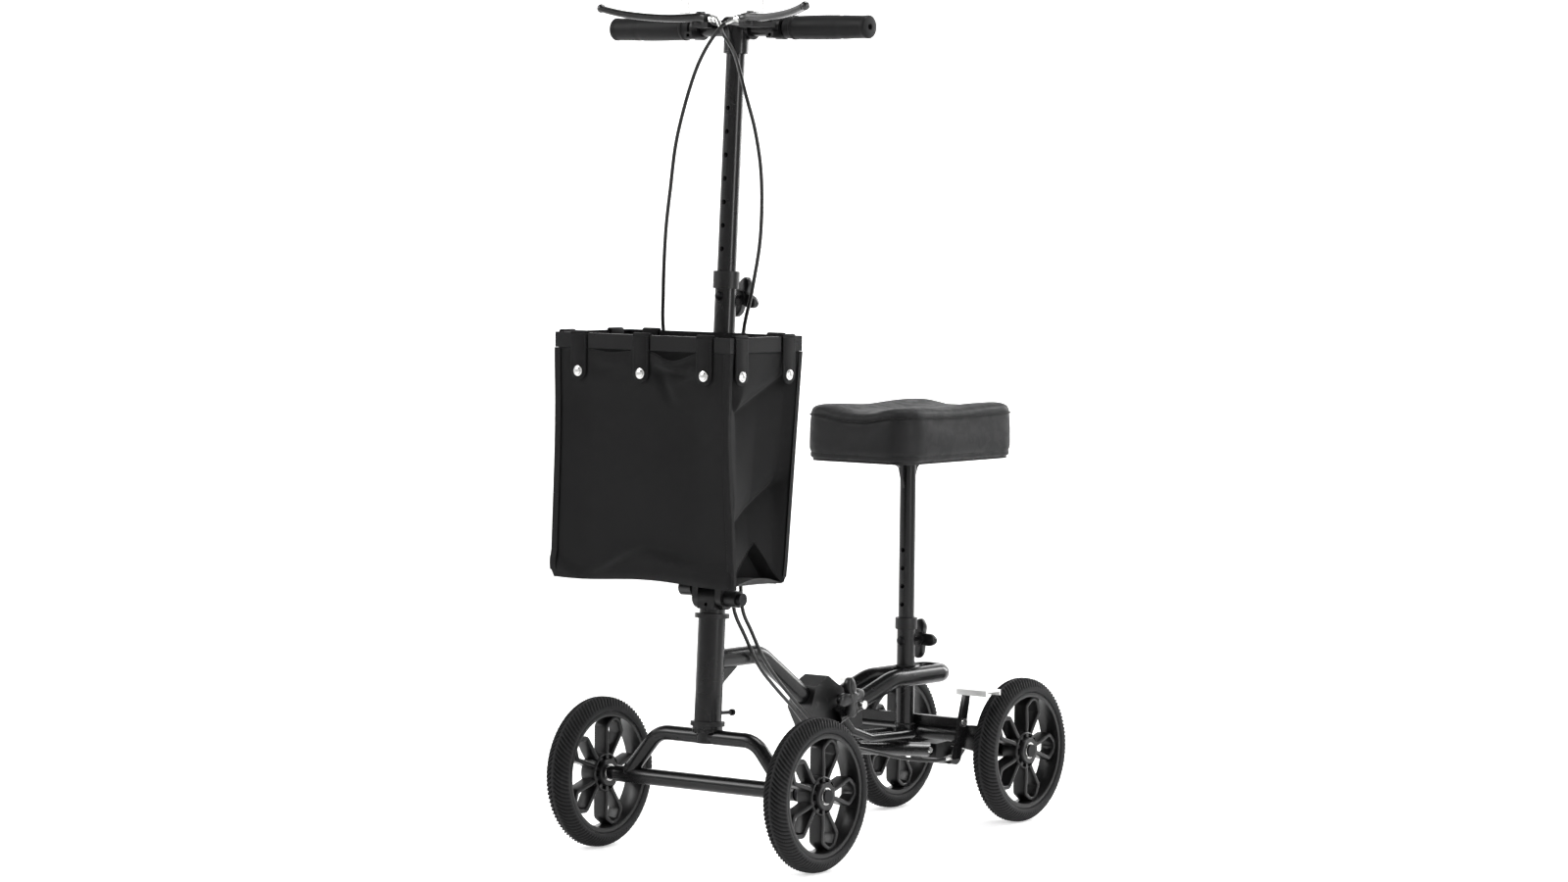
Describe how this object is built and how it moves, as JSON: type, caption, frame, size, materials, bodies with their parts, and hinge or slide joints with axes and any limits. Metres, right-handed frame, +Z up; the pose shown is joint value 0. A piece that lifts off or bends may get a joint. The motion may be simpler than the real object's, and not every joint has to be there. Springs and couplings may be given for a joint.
{
  "type": "knee scooter",
  "caption": "Steerable knee scooter with a folding height-adjustable column, hand-braked rear wheels, a padded knee seat on a sliding post and a front bag.",
  "frame": {"origin": "on the ground, at the middle of the whole scooter's outline", "axes": "+X to the rider's left, +Y to the rear, +Z up"},
  "size_m": [0.424, 0.8284, 1.1395],
  "materials": {
    "frame_paint": "semi-gloss black powder coat",
    "alloy": "satin black anodised",
    "steel": "bright zinc",
    "tyre": "dark grey solid rubber",
    "rim": "moulded, black",
    "grip": "ribbed, dark grey",
    "bag": "woven nylon, black",
    "webbing": "nylon webbing, black",
    "vinyl": "grained vinyl, black",
    "cable": "smooth, black",
    "knob": "moulded, black",
    "board": "painted black"
  },
  "bodies": {
    "frame": {"head_tube": "frame_paint", "headset_cups": "alloy", "main_tube": "frame_paint", "head_gusset": "frame_paint", "frame_bracket": "alloy", "rear_loop": "frame_paint", "seat_tube": "frame_paint", "seat_collar": "alloy", "guard_tubes": "frame_paint", "lower_stay": "frame_paint", "cross_tube": "frame_paint", "rear_arms": "frame_paint", "rear_axle": "alloy", "frame_bolts": "steel", "brake_pivot_bolts": "steel", "rear_axle_bolts": "steel", "seat_bolt": "steel", "brake_cable_left": "cable", "brake_cable_right": "cable"},
    "fork": {"axle_tube": "frame_paint", "axle_arch": "frame_paint", "steerer": "frame_paint", "front_axle_bolts": "steel", "fold_base": "alloy"},
    "column": {"hinge_bolt": "steel", "fold_knuckle": "alloy", "column_tube": "frame_paint", "column_collar": "alloy", "column_bolt": "steel", "bag_frame": "frame_paint", "bag": "bag", "bag_straps": "webbing"},
    "slider": {"slider_tube": "frame_paint", "handlebar": "frame_paint", "grips": "grip", "lever_perches": "alloy", "barrel_adjusters": "steel"},
    "lever_left": {"brake_lever_left": "alloy"},
    "lever_right": {"brake_lever_right": "alloy"},
    "lock_left": {"parking_lock_left": "steel"},
    "lock_right": {"parking_lock_right": "steel"},
    "column_knob": {"column_knob": "knob"},
    "seat_knob": {"seat_knob": "knob"},
    "frame_knob": {"frame_knob": "knob"},
    "seat": {"seat_post": "frame_paint", "seat_board": "board", "seat_cushion": "vinyl"},
    "latch": {"fold_latch": "knob"},
    "steer_pin": {"steering_lock": "frame_paint"},
    "brake_left": {"brake_arm_left": "frame_paint"},
    "brake_right": {"brake_arm_right": "frame_paint"},
    "wheel_front_left": {"tyre_front_left": "tyre", "rim_front_left": "rim"},
    "wheel_front_right": {"tyre_front_right": "tyre", "rim_front_right": "rim"},
    "wheel_rear_left": {"tyre_rear_left": "tyre", "rim_rear_left": "rim"},
    "wheel_rear_right": {"tyre_rear_right": "tyre", "rim_rear_right": "rim"}
  },
  "joints": [
    {"name": "steer", "type": "hinge", "parent": "frame", "child": "fork", "pos_m": [0, -0.2634, 0.14], "axis": [0, 0.0523, 0.9986], "range_deg": [-40, 40], "deforming": ["brake_cable_left", "brake_cable_right"]},
    {"name": "column_fold", "type": "hinge", "parent": "fork", "child": "column", "pos_m": [0, -0.25251, 0.34771], "axis": [1, 0, 0], "range_deg": [0, 90], "deforming": ["brake_cable_left", "brake_cable_right"]},
    {"name": "column_height", "type": "slide", "parent": "column", "child": "slider", "axis": [0, 0.0523, 0.9986], "range_m": [-0.186, 0.031], "deforming": ["brake_cable_left", "brake_cable_right"]},
    {"name": "seat_height", "type": "slide", "parent": "frame", "child": "seat", "axis": [0, 0, 1], "range_m": [-0.088, 0.025]},
    {"name": "lever_left_pull", "type": "hinge", "parent": "slider", "child": "lever_left", "pos_m": [0.042, -0.23709, 1.113], "axis": [0, 0, 1], "range_deg": [0, 18], "stiffness_Nm_per_rad": 1.5, "deforming": ["brake_cable_left", "brake_cable_right"]},
    {"name": "lever_right_pull", "type": "hinge", "parent": "slider", "child": "lever_right", "pos_m": [-0.042, -0.23709, 1.113], "axis": [0, 0, -1], "range_deg": [0, 18], "stiffness_Nm_per_rad": 1.5, "deforming": ["brake_cable_left", "brake_cable_right"]},
    {"name": "brake_left_swing", "type": "hinge", "parent": "frame", "child": "brake_left", "pos_m": [0.087, 0.2026, 0.148], "axis": [-1, 0, 0], "range_deg": [0, 9], "deforming": ["brake_cable_left", "brake_cable_right"]},
    {"name": "brake_right_swing", "type": "hinge", "parent": "frame", "child": "brake_right", "pos_m": [-0.087, 0.2026, 0.148], "axis": [-1, 0, 0], "range_deg": [0, 9], "deforming": ["brake_cable_left", "brake_cable_right"]},
    {"name": "lock_left_turn", "type": "hinge", "parent": "lever_left", "child": "lock_left", "pos_m": [0.062, -0.24609, 1.1202], "axis": [1, 0, 0], "range_deg": [-60, 60]},
    {"name": "lock_right_turn", "type": "hinge", "parent": "lever_right", "child": "lock_right", "pos_m": [-0.062, -0.24609, 1.1202], "axis": [1, 0, 0], "range_deg": [-60, 60]},
    {"name": "column_knob_turn", "type": "hinge", "parent": "column", "child": "column_knob", "pos_m": [0, -0.21166, 0.74512], "axis": [0, 0.9986, -0.0523], "continuous": true},
    {"name": "seat_knob_turn", "type": "hinge", "parent": "frame", "child": "seat_knob", "pos_m": [0, 0.2066, 0.258], "axis": [0, 1, 0], "continuous": true},
    {"name": "frame_knob_turn", "type": "hinge", "parent": "frame", "child": "frame_knob", "pos_m": [0.02, 0.0046, 0.196], "axis": [1, 0, 0], "continuous": true},
    {"name": "latch_pull", "type": "slide", "parent": "column", "child": "latch", "axis": [-1, 0, 0], "range_m": [0, 0.008], "stiffness_N_per_m": 600},
    {"name": "steer_pin_slide", "type": "slide", "parent": "frame", "child": "steer_pin", "axis": [0, 0.9986, -0.0523], "range_m": [0, 0.008], "stiffness_N_per_m": 600},
    {"name": "wheel_front_left_spin", "type": "hinge", "parent": "fork", "child": "wheel_front_left", "pos_m": [0.1815, -0.2634, 0.1016], "axis": [1, 0, 0], "continuous": true},
    {"name": "wheel_front_right_spin", "type": "hinge", "parent": "fork", "child": "wheel_front_right", "pos_m": [-0.1815, -0.2634, 0.1016], "axis": [1, 0, 0], "continuous": true},
    {"name": "wheel_rear_left_spin", "type": "hinge", "parent": "frame", "child": "wheel_rear_left", "pos_m": [0.1105, 0.3126, 0.1016], "axis": [1, 0, 0], "continuous": true},
    {"name": "wheel_rear_right_spin", "type": "hinge", "parent": "frame", "child": "wheel_rear_right", "pos_m": [-0.1105, 0.3126, 0.1016], "axis": [1, 0, 0], "continuous": true}
  ],
  "couplings": [
    {"joint": "brake_left_swing", "follows": "lever_left_pull", "ratio": 0.45},
    {"joint": "brake_right_swing", "follows": "lever_right_pull", "ratio": 0.45}
  ]
}
